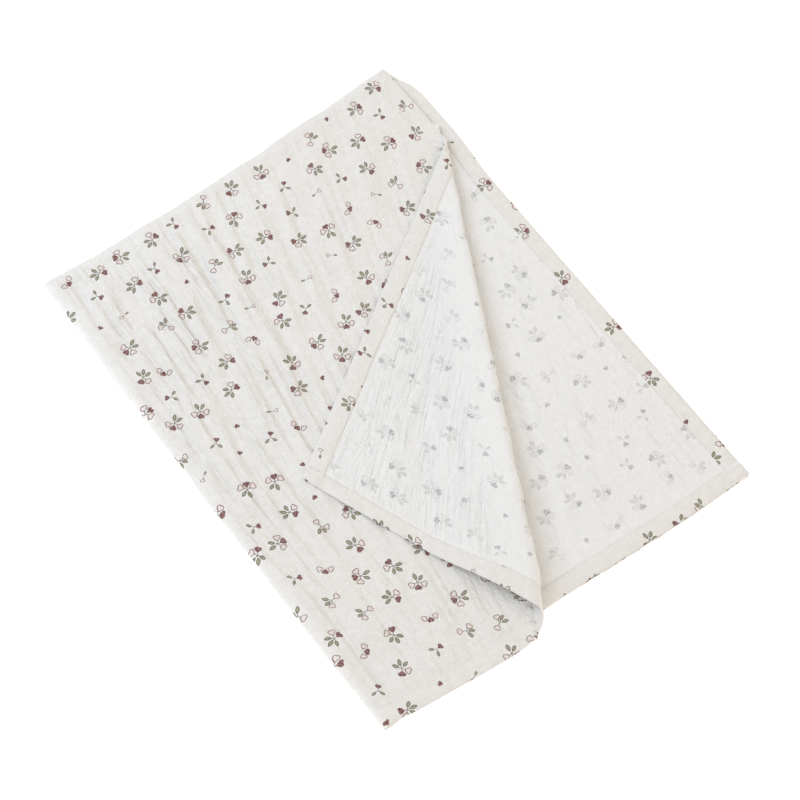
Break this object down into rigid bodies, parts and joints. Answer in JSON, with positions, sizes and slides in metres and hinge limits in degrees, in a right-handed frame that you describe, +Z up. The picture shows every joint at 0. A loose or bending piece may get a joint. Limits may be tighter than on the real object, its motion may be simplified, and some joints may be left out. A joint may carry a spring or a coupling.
{
  "type": "swaddle blanket",
  "caption": "Cotton gauze swaddle blanket folded in quarters, lying flat, with a corner of its top layer turned back in a soft roll.",
  "frame": {"origin": "middle of the folded blanket's box, on the surface that it lies on", "axes": "+Y along the folded blanket's long side towards its top fold, +X from its side fold to its side hems, +Z up"},
  "size_m": [0.4576, 0.6169, 0.029],
  "materials": {
    "cotton_gauze": "crinkled double cotton gauze, off-white, printed on one face with small heart and leaf sprigs"
  },
  "bodies": {
    "root": {"blanket": "cotton_gauze"}
  },
  "joints": []
}
